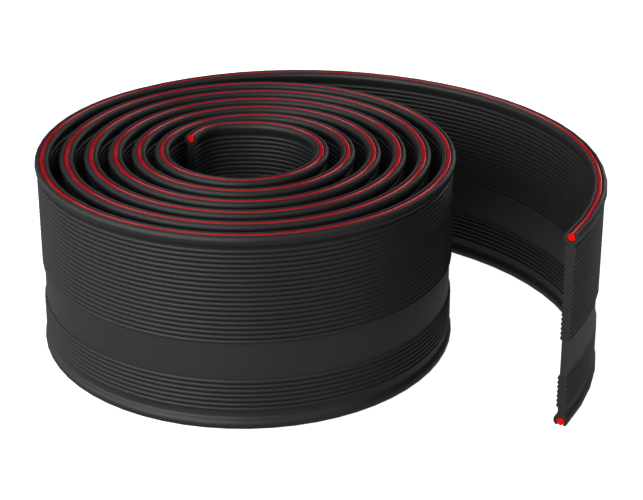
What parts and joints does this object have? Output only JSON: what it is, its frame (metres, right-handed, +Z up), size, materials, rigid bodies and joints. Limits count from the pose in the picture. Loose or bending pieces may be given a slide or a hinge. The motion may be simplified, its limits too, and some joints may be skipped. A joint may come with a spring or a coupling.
{
  "type": "pvc waterstop",
  "caption": "Coil of ribbed PVC joint sealing band standing on edge, with a swelling cord in a beaded groove along each edge and a free outer end.",
  "frame": {"origin": "on the floor, under the middle of the outline of the coil and its free tail", "axes": "+Z up along the coil's axis, +X towards the free tail, +Y towards the back of the coil, where the tail leaves it"},
  "size_m": [0.4304, 0.3694, 0.15],
  "materials": {
    "pvc": "black, satin",
    "swelling_cord": "red, smooth"
  },
  "bodies": {
    "root": {"waterstop_band": "pvc", "lower_swelling_cord": "swelling_cord", "upper_swelling_cord": "swelling_cord"}
  },
  "joints": []
}
